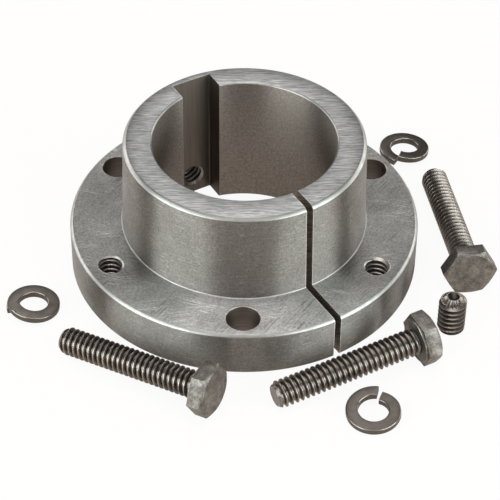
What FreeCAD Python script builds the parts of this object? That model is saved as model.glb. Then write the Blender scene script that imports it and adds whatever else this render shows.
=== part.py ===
"""Quick disconnect bushing, SDS size, with the screws and lock washers that go with it.

The bushing is one turned steel piece: a round flange, a tapered barrel, a straight bore, a keyway,
a slit right through one side, three clearance holes, three tapped holes and a set screw hole.
Its own hardware lies round it on the floor: three hex cap screws, three split lock washers and one
socket set screw. Lengths are millimetres. The axis of the bore is Z, the flange stands on Z = 0, and the
keyway faces +Y with the slit opposite.
"""
import FreeCAD
import Part
import Sketcher
import math
import os

os.makedirs("parts", exist_ok=True)
doc = FreeCAD.newDocument("quick_disconnect_bushing")

# Driving dimensions
SIZES = [
    ("flange_diameter", 79.375),
    ("flange_thickness", 11.1125),
    ("flange_chamfer", 0.6),
    ("flange_edge_break", 0.3),
    ("overall_length", 33.3375),
    ("barrel_diameter", 55.5625),
    ("taper_per_length", 0.0625),
    ("barrel_chamfer", 0.75),
    ("barrel_root_bevel", 0.35),
    ("bore_diameter", 41.275),
    ("bore_edge_break", 0.3),
    ("key_width", 9.525),
    ("key_depth", 4.7625),
    ("key_corner_radius", 0.35),
    ("key_azimuth", 90),
    ("slit_width", 1.5875),
    ("slit_azimuth", 271.3),
    ("hole_rim_distance", 5.55625),
    ("clearance_hole_diameter", 7.5),
    ("clearance_hole_azimuth", 240),
    ("tap_drill_diameter", 5.1054),
    ("tap_countersink_diameter", 6.7),
    ("tapped_hole_azimuth", 300),
    ("hole_count", 3),
    ("set_hole_height", 5.1),
    ("thread_diameter", 6.2),
    ("screw_length", 34.2),
    ("screw_tip_chamfer", 0.75),
    ("head_across_flats", 10.9),
    ("head_height", 3.9),
    ("head_chamfer_angle", 30),
    ("head_face_diameter", 10.3),
    ("washer_face_diameter", 10.2),
    ("washer_face_height", 0.38),
    ("lock_inner_diameter", 6.6),
    ("lock_outer_diameter", 11.9),
    ("lock_inner_thickness", 1.63),
    ("lock_outer_thickness", 1.51),
    ("lock_end_rise", 1.57),
    ("lock_gap_angle", 8),
    ("lock_tilt", 5.512),
    ("lock_tilt_azimuth", 154.07),
    ("set_length", 9.525),
    ("set_point_diameter", 3.4),
    ("set_cup_diameter", 2.7),
    ("set_cup_depth", 0.8),
    ("set_foot_chamfer", 0.6),
    ("set_socket_across_flats", 3.175),
    ("set_socket_depth", 4),
    ("cap_screw_1_clearance", 10.378),
    ("cap_screw_1_azimuth", 229.342),
    ("cap_screw_1_yaw", 121.24),
    ("cap_screw_2_clearance", 11.492),
    ("cap_screw_2_azimuth", 287.242),
    ("cap_screw_2_yaw", 175.8),
    ("cap_screw_3_clearance", 11.859),
    ("cap_screw_3_azimuth", 319.524),
    ("cap_screw_3_yaw", 69.16),
    ("lock_washer_1_clearance", 11.584),
    ("lock_washer_1_azimuth", 172.649),
    ("lock_washer_1_split", 174),
    ("lock_washer_2_clearance", 19.327),
    ("lock_washer_2_azimuth", 268.349),
    ("lock_washer_2_split", 42),
    ("lock_washer_3_clearance", 13.986),
    ("lock_washer_3_azimuth", 13.456),
    ("lock_washer_3_split", 217),
    ("set_screw_clearance", 12.835),
    ("set_screw_azimuth", 301.817),
]

sheet = doc.addObject("Spreadsheet::Sheet", "Sizes")
for row, (alias, value) in enumerate(SIZES, start=1):
    sheet.set("A%d" % row, alias)
    sheet.set("B%d" % row, str(value))
    sheet.setAlias("B%d" % row, alias)
doc.recompute()


def size(alias):
    """The value of one driving dimension."""
    return float(sheet.get(alias))


def bind(obj, prop, formula):
    """Bind a property to the sheet; every word of the formula that names a size is looked up there."""
    words = formula
    for alias, _value in sorted(SIZES, key=lambda item: -len(item[0])):
        words = words.replace("@" + alias, "Sizes." + alias)
    obj.setExpression(prop, words)


# Sketches
def origin_plane(body, role):
    for feature in body.Origin.OriginFeatures:
        if feature.Role == role:
            return feature
    raise ValueError(role)


def new_sketch(body, name, role, turn=None, lift=None):
    """A sketch on one of the body's own planes, turned about the body's Z axis or lifted along it."""
    sketch = body.newObject("Sketcher::SketchObject", name)
    sketch.AttachmentSupport = [(origin_plane(body, role), "")]
    sketch.MapMode = "FlatFace"
    across = FreeCAD.Vector(0, 0, 1) if role == "XY_Plane" else FreeCAD.Vector(0, 1, 0)
    angle = formula_value(turn) if turn else 0
    height = formula_value(lift) if lift else 0
    sketch.AttachmentOffset = FreeCAD.Placement(FreeCAD.Vector(0, 0, height), FreeCAD.Rotation(across, angle))
    if turn:
        bind(sketch, "AttachmentOffset.Rotation.Angle", "(%s) * 1 deg" % turn)
    if lift:
        bind(sketch, "AttachmentOffset.Base.z", lift)
    return sketch


def formula_value(formula):
    """The number that a formula over the sheet gives now, found with a scratch cell."""
    words = formula
    for alias, _value in sorted(SIZES, key=lambda item: -len(item[0])):
        words = words.replace("@" + alias, alias)
    sheet.set("D1", "=" + words)
    sheet.recompute()
    return float(sheet.get("D1"))


def pin_point(sketch, geo, pos, across, up):
    """Hold one point of a sketch at two formulas measured from the sketch's origin."""
    if across == "0":
        sketch.addConstraint(Sketcher.Constraint("PointOnObject", geo, pos, -2))
    else:
        held = sketch.addConstraint(Sketcher.Constraint("DistanceX", -1, 1, geo, pos, formula_value(across)))
        bind(sketch, "Constraints[%d]" % held, across)
    if up == "0":
        sketch.addConstraint(Sketcher.Constraint("PointOnObject", geo, pos, -1))
    else:
        held = sketch.addConstraint(Sketcher.Constraint("DistanceY", -1, 1, geo, pos, formula_value(up)))
        bind(sketch, "Constraints[%d]" % held, up)


def closed_outline(sketch, corners):
    """A closed run of straight lines through corners that are given as pairs of formulas."""
    spots = [FreeCAD.Vector(formula_value(a), formula_value(b), 0) for a, b in corners]
    count = len(spots)
    lines = []
    for index in range(count):
        line = Part.LineSegment(spots[index], spots[(index + 1) % count])
        lines.append(sketch.addGeometry(line, False))
    for index in range(count):
        following = lines[(index + 1) % count]
        sketch.addConstraint(Sketcher.Constraint("Coincident", lines[index], 2, following, 1))
    for index, (across, up) in enumerate(corners):
        pin_point(sketch, lines[index], 1, across, up)


def circle(sketch, across, up, diameter):
    centre = FreeCAD.Vector(formula_value(across), formula_value(up), 0)
    ring = Part.Circle(centre, FreeCAD.Vector(0, 0, 1), formula_value(diameter) / 2)
    geo = sketch.addGeometry(ring, False)
    pin_point(sketch, geo, 3, across, up)
    held = sketch.addConstraint(Sketcher.Constraint("Diameter", geo, formula_value(diameter)))
    bind(sketch, "Constraints[%d]" % held, diameter)


def hexagon(sketch, flats):
    """A hexagon about the origin with one flat facing along the sketch's first axis."""
    half = "(%s) / 2" % flats
    reach = "(%s) / 2 / cos(30 deg)" % flats
    side = "(%s) / 2 * tan(30 deg)" % flats
    closed_outline(sketch, [
        (half, "-(%s)" % side),
        (half, side),
        ("0", reach),
        ("-(%s)" % half, side),
        ("-(%s)" % half, "-(%s)" % side),
        ("0", "-(%s)" % reach),
    ])


# Features
def revolve(body, name, sketch, groove=False):
    kind = "PartDesign::Groove" if groove else "PartDesign::Revolution"
    feature = body.newObject(kind, name)
    feature.Profile = sketch
    feature.ReferenceAxis = (sketch, ["V_Axis"])
    feature.Angle = 360
    sketch.Visibility = False
    doc.recompute()
    return feature


def pocket_through(body, name, sketch):
    """Cut a sketch through everything above and below its plane."""
    before = body.Shape.Volume
    feature = body.newObject("PartDesign::Pocket", name)
    feature.Profile = sketch
    feature.Type = "ThroughAll"
    feature.Midplane = True
    doc.recompute()
    if not body.Shape.Volume < before:
        raise ValueError(name + " removed nothing")
    return feature


def edges_where(shape, test):
    names = []
    for index, edge in enumerate(shape.Edges, start=1):
        if test(edge):
            names.append("Edge%d" % index)
    return names


def is_ring(edge, radius, height):
    """True for a full circle about the Z axis with this radius and height."""
    curve = edge.Curve
    if not isinstance(curve, Part.Circle) or len(edge.Vertexes) > 1:
        return False
    centre = curve.Center
    near_axis = math.hypot(centre.x, centre.y) < 0.001
    return near_axis and abs(curve.Radius - radius) < 0.001 and abs(centre.z - height) < 0.001


def dress(body, name, kind, edges, amount):
    """A chamfer or fillet on edges of the body's tip."""
    base = body.Tip
    if not edges:
        raise ValueError(name + " found no edge")
    feature = body.newObject("PartDesign::" + kind, name)
    feature.Base = (base, edges)
    bind(feature, "Size" if kind == "Chamfer" else "Radius", amount)
    doc.recompute()
    return feature


def drill(body, name, sketch, diameter, sink=None, depth=None):
    before = body.Shape.Volume
    hole = body.newObject("PartDesign::Hole", name)
    hole.Profile = sketch
    doc.recompute()
    hole.ThreadType = "None"
    hole.Diameter = formula_value(diameter)
    bind(hole, "Diameter", diameter)
    if depth:
        hole.DepthType = "Dimension"
        hole.Depth = formula_value(depth)
        bind(hole, "Depth", depth)
        hole.DrillPoint = "Flat"
    else:
        hole.DepthType = "ThroughAll"
    if sink:
        hole.HoleCutType = "Countersink"
        hole.HoleCutCustomValues = True
        hole.HoleCutDiameter = formula_value(sink)
        bind(hole, "HoleCutDiameter", sink)
        hole.HoleCutCountersinkAngle = 90
    doc.recompute()
    if not body.Shape.Volume < before:
        raise ValueError(name + " removed nothing")
    return hole


def around(body, name, feature, sketch):
    pattern = body.newObject("PartDesign::PolarPattern", name)
    pattern.Originals = [feature]
    pattern.Axis = (sketch, ["N_Axis"])
    pattern.Angle = 360
    bind(pattern, "Occurrences", "@hole_count")
    body.Tip = pattern
    doc.recompute()
    return pattern


# Bushing
def turned_blank(body):
    """The turned blank: flange, tapered barrel and straight bore in one outline."""
    sketch = new_sketch(body, "blank_outline", "XZ_Plane")
    barrel_top = "(@barrel_diameter - @taper_per_length * (@overall_length - @flange_thickness)) / 2"
    closed_outline(sketch, [
        ("@bore_diameter / 2", "0"),
        ("@flange_diameter / 2", "0"),
        ("@flange_diameter / 2", "@flange_thickness"),
        ("@barrel_diameter / 2", "@flange_thickness"),
        (barrel_top, "@overall_length"),
        ("@bore_diameter / 2", "@overall_length"),
    ])
    revolve(body, "turned_blank", sketch)


def turned_edges(body):
    """The edges as the lathe leaves them: chamfers on flange and barrel, a small bevel at the root."""
    top = size("overall_length")
    seat = size("flange_thickness")
    rim = size("flange_diameter") / 2
    root = size("barrel_diameter") / 2
    nose = root - size("taper_per_length") * (top - seat) / 2
    bore = size("bore_diameter") / 2
    chosen = edges_where(body.Shape, lambda edge: is_ring(edge, root, seat))
    dress(body, "barrel_root", "Chamfer", chosen, "@barrel_root_bevel")
    chosen = edges_where(body.Shape, lambda edge: is_ring(edge, nose, top))
    dress(body, "barrel_end_chamfer", "Chamfer", chosen, "@barrel_chamfer")
    chosen = edges_where(body.Shape, lambda edge: is_ring(edge, rim, seat))
    dress(body, "flange_top_chamfer", "Chamfer", chosen, "@flange_chamfer")
    chosen = edges_where(body.Shape, lambda edge: is_ring(edge, rim, 0))
    dress(body, "flange_foot_chamfer", "Chamfer", chosen, "@flange_edge_break")
    ends = edges_where(body.Shape, lambda edge: is_ring(edge, bore, 0) or is_ring(edge, bore, top))
    dress(body, "bore_edge_breaks", "Chamfer", ends, "@bore_edge_break")


def flange_holes(body):
    """Three clearance holes and three tapped holes take turns round one bolt circle."""
    seat = "@flange_thickness"
    plain = new_sketch(body, "clearance_hole_spot", "XY_Plane", "@clearance_hole_azimuth", seat)
    circle(plain, "@flange_diameter / 2 - @hole_rim_distance", "0", "@clearance_hole_diameter")
    hole = drill(body, "clearance_hole", plain, "@clearance_hole_diameter")
    around(body, "clearance_holes", hole, plain)
    tapped = new_sketch(body, "tapped_hole_spot", "XY_Plane", "@tapped_hole_azimuth", seat)
    circle(tapped, "@flange_diameter / 2 - @hole_rim_distance", "0", "@tap_drill_diameter")
    hole = drill(body, "tapped_hole", tapped, "@tap_drill_diameter", "@tap_countersink_diameter")
    around(body, "tapped_holes", hole, tapped)


def keyway(body):
    """A straight keyway broached through the bore, with small radii in its two corners."""
    sketch = new_sketch(body, "keyway_outline", "XY_Plane", "@key_azimuth")
    mouth = "@bore_diameter / 2 * cos(asin(@key_width / @bore_diameter))"
    floor = "(%s) + @key_depth" % mouth
    closed_outline(sketch, [
        ("@bore_diameter / 4", "-@key_width / 2"),
        (floor, "-@key_width / 2"),
        (floor, "@key_width / 2"),
        ("@bore_diameter / 4", "@key_width / 2"),
    ])
    pocket_through(body, "keyway", sketch)
    reach = math.hypot(formula_value(floor), size("key_width") / 2)

    def is_corner(edge):
        if not isinstance(edge.Curve, Part.Line) or abs(edge.Curve.Direction.z) < 0.999:
            return False
        start = edge.Vertexes[0].Point
        return abs(math.hypot(start.x, start.y) - reach) < 0.01

    corners = edges_where(body.Shape, is_corner)
    dress(body, "keyway_corners", "Fillet", corners, "@key_corner_radius")


def slit(body):
    """The slit that lets the bushing close on the shaft, sawn right through flange and barrel."""
    sketch = new_sketch(body, "slit_outline", "XY_Plane", "@slit_azimuth")
    closed_outline(sketch, [
        ("@bore_diameter / 4", "-@slit_width / 2"),
        ("@flange_diameter", "-@slit_width / 2"),
        ("@flange_diameter", "@slit_width / 2"),
        ("@bore_diameter / 4", "@slit_width / 2"),
    ])
    pocket_through(body, "slit", sketch)


def set_screw_hole(body):
    """The tapped hole that runs in from the rim of the flange and opens in the keyway's floor."""
    sketch = new_sketch(body, "set_hole_spot", "XZ_Plane", "@key_azimuth - 90")
    circle(sketch, "0", "@set_hole_height", "@tap_drill_diameter")
    drill(body, "set_screw_hole", sketch, "@tap_drill_diameter", None, "@flange_diameter")


def make_bushing():
    body = doc.addObject("PartDesign::Body", "bushing")
    body.Label = "bushing"
    turned_blank(body)
    turned_edges(body)
    flange_holes(body)
    keyway(body)
    slit(body)
    set_screw_hole(body)
    body.Placement = FreeCAD.Placement(FreeCAD.Vector(0, 0, 0), FreeCAD.Rotation())
    return body


# Loose hardware
def spot_beside_flange(name, height):
    """A place on the floor, found by its azimuth and its distance out from the flange's rim."""
    out = size("flange_diameter") / 2 + size(name + "_clearance")
    azimuth = math.radians(size(name + "_azimuth"))
    return FreeCAD.Vector(out * math.cos(azimuth), out * math.sin(azimuth), height)


# Cap screws
def screw_blank(body):
    """Shank and washer face, turned about the screw's axis, with the point at the far end."""
    sketch = new_sketch(body, "shank_outline", "XZ_Plane")
    closed_outline(sketch, [
        ("0", "-@washer_face_height"),
        ("@washer_face_diameter / 2", "-@washer_face_height"),
        ("@washer_face_diameter / 2", "0"),
        ("@thread_diameter / 2", "0"),
        ("@thread_diameter / 2", "@screw_length - @screw_tip_chamfer"),
        ("@thread_diameter / 2 - @screw_tip_chamfer", "@screw_length"),
        ("0", "@screw_length"),
    ])
    revolve(body, "shank", sketch)


def screw_head(body):
    """The hexagon, with its top corners turned off at thirty degrees."""
    sketch = new_sketch(body, "head_outline", "XY_Plane", None, "-@washer_face_height")
    hexagon(sketch, "@head_across_flats")
    head = body.newObject("PartDesign::Pad", "head")
    head.Profile = sketch
    head.Reversed = True
    bind(head, "Length", "@head_height - @washer_face_height")
    doc.recompute()
    top = new_sketch(body, "head_chamfer_outline", "XZ_Plane")
    reach = "@head_across_flats * 0.75"
    drop = "(@head_across_flats * 0.75 - @head_face_diameter / 2) * tan(@head_chamfer_angle * 1 deg)"
    closed_outline(top, [
        ("@head_face_diameter / 2", "-@head_height"),
        (reach, "-@head_height"),
        (reach, "-@head_height + " + drop),
    ])
    revolve(body, "head_chamfer", top, True)


def make_cap_screw(name):
    """A hex cap screw at rest on one flat of its head and on the rim of its point."""
    body = doc.addObject("PartDesign::Body", name)
    body.Label = name
    screw_blank(body)
    screw_head(body)
    shank = size("thread_diameter") / 2
    flat = size("head_across_flats") / 2
    span = size("screw_length") - size("screw_tip_chamfer") + size("washer_face_height")
    droop = math.atan2(flat - shank, span)
    height = flat * math.cos(droop) - size("washer_face_height") * math.sin(droop)
    spot = spot_beside_flange(name, height)
    turn = FreeCAD.Rotation(size(name + "_yaw"), 90 + math.degrees(droop), 0)
    body.Placement = FreeCAD.Placement(spot, turn)
    return body


# Lock washers
def rest_on_floor(body):
    """Lower or lift the body until its lowest point is on the floor."""
    spot = body.Placement
    low = body.Shape.optimalBoundingBox(True, False).ZMin
    spot.Base = spot.Base - FreeCAD.Vector(0, 0, low)
    body.Placement = spot
    doc.recompute()


def make_lock_washer(name):
    """A split washer: one left-handed turn of keystone wire, thicker inside, with its ends sprung apart."""
    body = doc.addObject("PartDesign::Body", name)
    body.Label = name
    sketch = new_sketch(body, "wire_section", "XZ_Plane")
    slope = "(@lock_inner_thickness - @lock_outer_thickness) / 2"
    closed_outline(sketch, [
        ("@lock_inner_diameter / 2", "0"),
        ("@lock_outer_diameter / 2", slope),
        ("@lock_outer_diameter / 2", "@lock_outer_thickness + " + slope),
        ("@lock_inner_diameter / 2", "@lock_inner_thickness"),
    ])
    coil = body.newObject("PartDesign::AdditiveHelix", "coil")
    coil.Profile = sketch
    coil.ReferenceAxis = (sketch, ["V_Axis"])
    coil.Mode = "pitch-height-angle"
    coil.LeftHanded = True
    coil.Angle = 0
    coil.Growth = 0
    bind(coil, "Pitch", "@lock_end_rise / (1 - @lock_gap_angle / 360)")
    bind(coil, "Height", "@lock_end_rise")
    doc.recompute()
    lean = math.radians(size("lock_tilt_azimuth"))
    tilt = FreeCAD.Rotation(FreeCAD.Vector(-math.sin(lean), math.cos(lean), 0), size("lock_tilt"))
    low_end = size(name + "_split") - size("lock_gap_angle") / 2
    turn = FreeCAD.Rotation(FreeCAD.Vector(0, 0, 1), low_end)
    body.Placement = FreeCAD.Placement(spot_beside_flange(name, 0), turn.multiply(tilt))
    doc.recompute()
    rest_on_floor(body)
    return body


# Set screw
def make_set_screw():
    """A socket set screw that stands on its socket end with its cup point up."""
    body = doc.addObject("PartDesign::Body", "set_screw")
    body.Label = "set_screw"
    sketch = new_sketch(body, "set_outline", "XZ_Plane")
    shoulder = "@set_length - (@thread_diameter - @set_point_diameter) / 2"
    closed_outline(sketch, [
        ("0", "0"),
        ("@thread_diameter / 2 - @set_foot_chamfer", "0"),
        ("@thread_diameter / 2", "@set_foot_chamfer"),
        ("@thread_diameter / 2", shoulder),
        ("@set_point_diameter / 2", "@set_length"),
        ("@set_cup_diameter / 2", "@set_length"),
        ("0", "@set_length - @set_cup_depth"),
    ])
    revolve(body, "set_blank", sketch)
    socket = new_sketch(body, "socket_outline", "XY_Plane")
    hexagon(socket, "@set_socket_across_flats")
    recess = body.newObject("PartDesign::Pocket", "socket")
    recess.Profile = socket
    recess.Reversed = True
    bind(recess, "Length", "@set_socket_depth")
    before = body.Shape.Volume
    doc.recompute()
    if not body.Shape.Volume < before:
        raise ValueError("the socket removed nothing")
    body.Placement = FreeCAD.Placement(spot_beside_flange("set_screw", 0), FreeCAD.Rotation())
    return body


bodies = [make_bushing()]
for number in range(1, 4):
    bodies.append(make_cap_screw("cap_screw_%d" % number))
for number in range(1, 4):
    bodies.append(make_lock_washer("lock_washer_%d" % number))
bodies.append(make_set_screw())
doc.recompute()

# Checks and export
for thing in doc.Objects:
    if "Invalid" in thing.State or "Error" in thing.State:
        raise ValueError("%s is %s" % (thing.Name, thing.State))
for body in bodies:
    shape = body.Shape
    if shape.isNull() or not shape.isValid() or len(shape.Solids) != 1:
        raise ValueError(body.Label + " is not one valid solid")
    shape.exportStep("parts/%s.step" % body.Label)
    box = shape.BoundBox
    print("%s volume %.1f z %.3f to %.3f" % (body.Label, shape.Volume, box.ZMin, box.ZMax))
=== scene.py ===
"""A quick disconnect bushing with its cap screws, lock washers and set screw, for a studio picture.

The bushing is turned, drilled, tapped, broached and slit in the order of the real work. The screws get
their threads, the lock washers their sprung ends and the set screw its knurled cup. Every piece stands for
one solid of the frame and lies where that solid lies. Lengths are metres, and the bore's axis is Z.
"""

import math

import bmesh
import bpy
from bpy.props import FloatProperty, FloatVectorProperty, IntProperty, PointerProperty
from mathutils import Matrix, Vector


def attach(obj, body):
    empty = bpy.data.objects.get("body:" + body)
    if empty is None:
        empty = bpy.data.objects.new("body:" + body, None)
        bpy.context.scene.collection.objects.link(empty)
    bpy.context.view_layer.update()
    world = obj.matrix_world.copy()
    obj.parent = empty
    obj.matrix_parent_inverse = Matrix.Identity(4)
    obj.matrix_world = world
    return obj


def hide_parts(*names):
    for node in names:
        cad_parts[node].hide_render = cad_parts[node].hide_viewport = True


bl_info = {
    "name": "Quick Disconnect Bushing",
    "version": (1, 0, 0),
    "blender": (4, 5, 0),
    "location": "View3D > Sidebar > Bushing",
    "description": "Models a split taper bushing with its loose hardware on a studio floor",
    "category": "Object",
}

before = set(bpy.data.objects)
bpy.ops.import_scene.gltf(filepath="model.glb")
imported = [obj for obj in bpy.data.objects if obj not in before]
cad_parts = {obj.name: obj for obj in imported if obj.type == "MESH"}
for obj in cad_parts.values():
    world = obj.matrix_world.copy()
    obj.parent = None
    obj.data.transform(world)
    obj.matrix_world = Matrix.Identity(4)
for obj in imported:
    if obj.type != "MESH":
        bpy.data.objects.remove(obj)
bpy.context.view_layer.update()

MM = 0.001


def linear(hex_text):
    """An sRGB hex colour as the linear numbers that a shader takes."""
    shares = [int(hex_text[i:i + 2], 16) / 255 for i in (1, 3, 5)]
    return tuple(c / 12.92 if c <= 0.04045 else ((c + 0.055) / 1.055) ** 2.4 for c in shares)


# Sizes and colours that a user would change
def length(name, millimetres, note):
    return FloatProperty(
        name=name, description=note, default=millimetres * MM, min=0.0, precision=5, unit="LENGTH",
    )


def angle(name, degrees, note):
    return FloatProperty(name=name, description=note, default=math.radians(degrees), unit="ROTATION")


def colour(name, hex_text, note):
    return FloatVectorProperty(
        name=name, description=note, default=linear(hex_text), size=3, min=0.0, max=1.0, subtype="COLOR",
    )


def number(name, value, note):
    return FloatProperty(name=name, description=note, default=value, min=0.0)


class BushingSizes(bpy.types.PropertyGroup):
    """Sizes of the turned bushing."""
    flange_diameter: length("Flange diameter", 79.375, "Across the flange")
    flange_thickness: length("Flange thickness", 11.1125, "Height of the flange")
    overall_length: length("Overall length", 33.3375, "Flange and barrel together")
    barrel_diameter: length("Barrel diameter", 55.5625, "Large end of the taper, at the flange")
    barrel_taper: number("Taper", 0.0625, "Loss of diameter for each unit of length")
    bore_diameter: length("Bore diameter", 41.275, "The shaft that it clamps")
    flange_chamfer: length("Flange chamfer", 0.6, "Upper edge of the flange")
    flange_edge_break: length("Flange edge break", 0.3, "Lower edge of the flange")
    barrel_chamfer: length("Barrel chamfer", 0.75, "Outer edge of the small end")
    barrel_root: length("Barrel root", 0.35, "Inner corner where barrel meets flange")
    bore_edge_break: length("Bore edge break", 0.3, "Both mouths of the bore")
    edge_round: length("Edge round", 0.09, "Rounding that handling leaves on turned edges")
    key_width: length("Keyway width", 9.525, "Across the keyway")
    key_depth: length("Keyway depth", 4.7625, "From the bore's wall at the keyway's side")
    key_corner: length("Keyway corner", 0.15, "Radius in the keyway's corners")
    slit_width: length("Slit width", 1.5875, "The saw cut")
    slit_azimuth: angle("Slit azimuth", 271.3, "Where the saw cut is")
    hole_circle: length("Bolt circle", 68.2625, "Circle of the six holes in the flange")
    clearance_hole: length("Clearance hole", 7.5, "Hole that a cap screw passes through")
    clearance_azimuth: angle("Clearance azimuth", 240, "Where the first clearance hole is")
    tap_drill: length("Tap drill", 5.1054, "Inside the thread of a tapped hole")
    tap_major: length("Tap major", 6.35, "Outside the thread of a tapped hole")
    tap_sink: length("Tap countersink", 5.7, "Mouth of a tapped hole")
    tapped_azimuth: angle("Tapped azimuth", 300, "Where the first tapped hole is")
    set_hole_height: length("Set screw hole height", 5.1, "Above the flange's underside")
    hole_count: IntProperty(name="Holes", description="Holes of each kind", default=3, min=1)


class HardwareSizes(bpy.types.PropertyGroup):
    """Sizes of the screws and washers."""
    pitch: length("Thread pitch", 1.27, "Twenty threads to the inch")
    thread_diameter: length("Thread diameter", 6.2, "Over the crests")
    root_diameter: length("Root diameter", 4.75, "Between the threads")
    screw_length: length("Screw length", 34.2, "Under the head")
    tip_chamfer: length("Tip chamfer", 0.75, "On the screw's point")
    head_flats: length("Head flats", 10.9, "Across the flats of the head")
    head_height: length("Head height", 3.9, "With the washer face")
    head_face: length("Head face", 10.3, "Flat circle left on the head by its chamfer")
    head_chamfer: angle("Head chamfer", 30, "Slope that is turned on the head's corners")
    washer_face: length("Washer face", 10.2, "Bearing face under the head")
    washer_face_height: length("Washer face height", 0.38, "Step of the bearing face")
    lock_inner: length("Washer inside", 6.6, "Hole of the lock washer")
    lock_outer: length("Washer outside", 11.9, "Rim of the lock washer")
    lock_inner_thickness: length("Washer inner thickness", 1.63, "Keystone wire at the hole")
    lock_outer_thickness: length("Washer outer thickness", 1.51, "Keystone wire at the rim")
    lock_round: length("Washer corner", 0.3, "Rounded corners of the wire")
    lock_rise: length("Washer rise", 1.57, "How far its ends are sprung apart")
    lock_gap: angle("Washer gap", 8, "Open angle between its ends")
    lock_tilt: angle("Washer tilt", 5.512, "How far a washer leans as it lies")
    lock_tilt_azimuth: angle("Washer tilt azimuth", 154.07, "Towards which side it leans")
    set_length: length("Set screw length", 9.525, "From its socket to its point")
    set_point: length("Set screw point", 3.4, "Across the rim of the cup")
    set_cup: length("Set screw cup", 2.7, "Mouth of the cup")
    set_cup_depth: length("Set screw cup depth", 0.8, "Depth of the cup")
    set_foot_chamfer: length("Set screw foot chamfer", 0.6, "Around the socket's end")
    set_socket: length("Set screw socket", 3.175, "Across the flats of the socket")
    set_socket_depth: length("Set screw socket depth", 4.0, "Depth of the socket")
    knurls: IntProperty(name="Knurls", description="Teeth round the cup point", default=20, min=6)


class Finishes(bpy.types.PropertyGroup):
    """Colours of the steels."""
    lapped: colour("Lapped end", "#949493", "The small end of the barrel")
    faced: colour("Faced flange", "#ABA9A6", "The flat faces of the flange")
    turned: colour("Turned sides", "#938E89", "The taper and the rim")
    # Lighter than the turned sides: a painted highlight on the chamfers
    chamfer: colour("Chamfers", "#ABA9A5", "The turned edges of flange and barrel")
    bored: colour("Bore", "#9A918A", "The wall of the bore")
    broached: colour("Keyway", "#7B726A", "The walls of the keyway")
    sawn: colour("Slit", "#A0958B", "The walls of the slit")
    drilled: colour("Drilled holes", "#A0968E", "The walls of the clearance holes")
    tapped: colour("Tapped threads", "#A29C95", "The threads in the bushing")
    thread: colour("Screw threads", "#807872", "The threads of the cap screws")
    head: colour("Screw heads", "#78736E", "The heads of the cap screws")
    washer: colour("Washers", "#635D58", "The lock washers")
    set_screw: colour("Set screw", "#867E77", "The set screw")


class StageSettings(bpy.types.PropertyGroup):
    """Floor, lamps and camera."""
    floor_colour: colour("Floor", "#EDE1D5", "The pale floor")
    world_colour: colour("World colour", "#FFF4EC", "Light from all round")
    world_strength: number("World", 0.1, "Light from all round")
    floor_glow: number("Floor glow", 0.93, "Share of plain white in what the camera sees of the floor")
    floor_mirror: number("Floor in metal", 0.2, "Share of plain white in what metal shows of the floor")
    distance: length("Camera distance", 479.707, "From the bore's mouth in the flange")
    elevation: angle("Camera elevation", 41.787, "Above the floor")
    azimuth: angle("Camera azimuth", -30, "Round the bore's axis from the slit's side")
    roll: angle("Camera roll", 0.519, "Tilt of the picture")
    lens: number("Lens", 148.76, "Focal length in millimetres on a 36 mm sensor")
    shift_x: number("Shift across", 0.01248, "Share of the picture's width")
    shift_y: number("Shift up", 0.00328, "Share of the picture's width")


class BushingSet(bpy.types.PropertyGroup):
    """Everything that a user can change."""
    bushing: PointerProperty(type=BushingSizes)
    hardware: PointerProperty(type=HardwareSizes)
    finishes: PointerProperty(type=Finishes)
    stage: PointerProperty(type=StageSettings)


# Where the loose pieces lie: millimetres out from the flange's rim, azimuth, and which way they point
CAP_SCREW_PLACES = ((10.378, 229.342, 121.24), (11.492, 287.242, 175.8), (11.859, 319.524, 69.16))
LOCK_WASHER_PLACES = ((11.584, 172.649, 174), (19.327, 268.349, 42), (13.986, 13.456, 217))
SET_SCREW_PLACE = (12.835, 301.817)

RING_STEPS = 256
HOLE_STEPS = 64
THREAD_STEPS = 48
FINE = 0.02 * MM

# Turns of thread below the cut: not a whole number, so that no corner of the thread lies on the cutting plane
RUN_IN = 2.37

# Corners flatter than this are shaded smooth
SMOOTH_BELOW = math.radians(28)


# Modelling by hand
def only(thing):
    """Make one object the selected and active one."""
    if bpy.context.object and bpy.context.object.mode != "OBJECT":
        bpy.ops.object.mode_set(mode="OBJECT")
    bpy.ops.object.select_all(action="DESELECT")
    if thing:
        thing.select_set(True)
        bpy.context.view_layer.objects.active = thing


def edit(thing, kind="VERT"):
    only(thing)
    bpy.ops.object.mode_set(mode="EDIT")
    bpy.ops.mesh.select_mode(type=kind)
    bpy.ops.mesh.select_all(action="SELECT")


def done():
    bpy.ops.object.mode_set(mode="OBJECT")


def choose(thing, kind, test):
    """In edit mode, select the parts of one kind that pass a test of their place or normal."""
    bpy.ops.mesh.select_mode(type=kind)
    bpy.ops.mesh.select_all(action="DESELECT")
    mesh = bmesh.from_edit_mesh(thing.data)
    parts = {"VERT": mesh.verts, "EDGE": mesh.edges, "FACE": mesh.faces}[kind]
    count = 0
    for part in parts:
        if test(part):
            part.select_set(True)
            count += 1
    mesh.select_flush_mode()
    bmesh.update_edit_mesh(thing.data)
    return count


def apply_all(thing):
    only(thing)
    for modifier in list(thing.modifiers):
        bpy.ops.object.modifier_apply(modifier=modifier.name)


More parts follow.
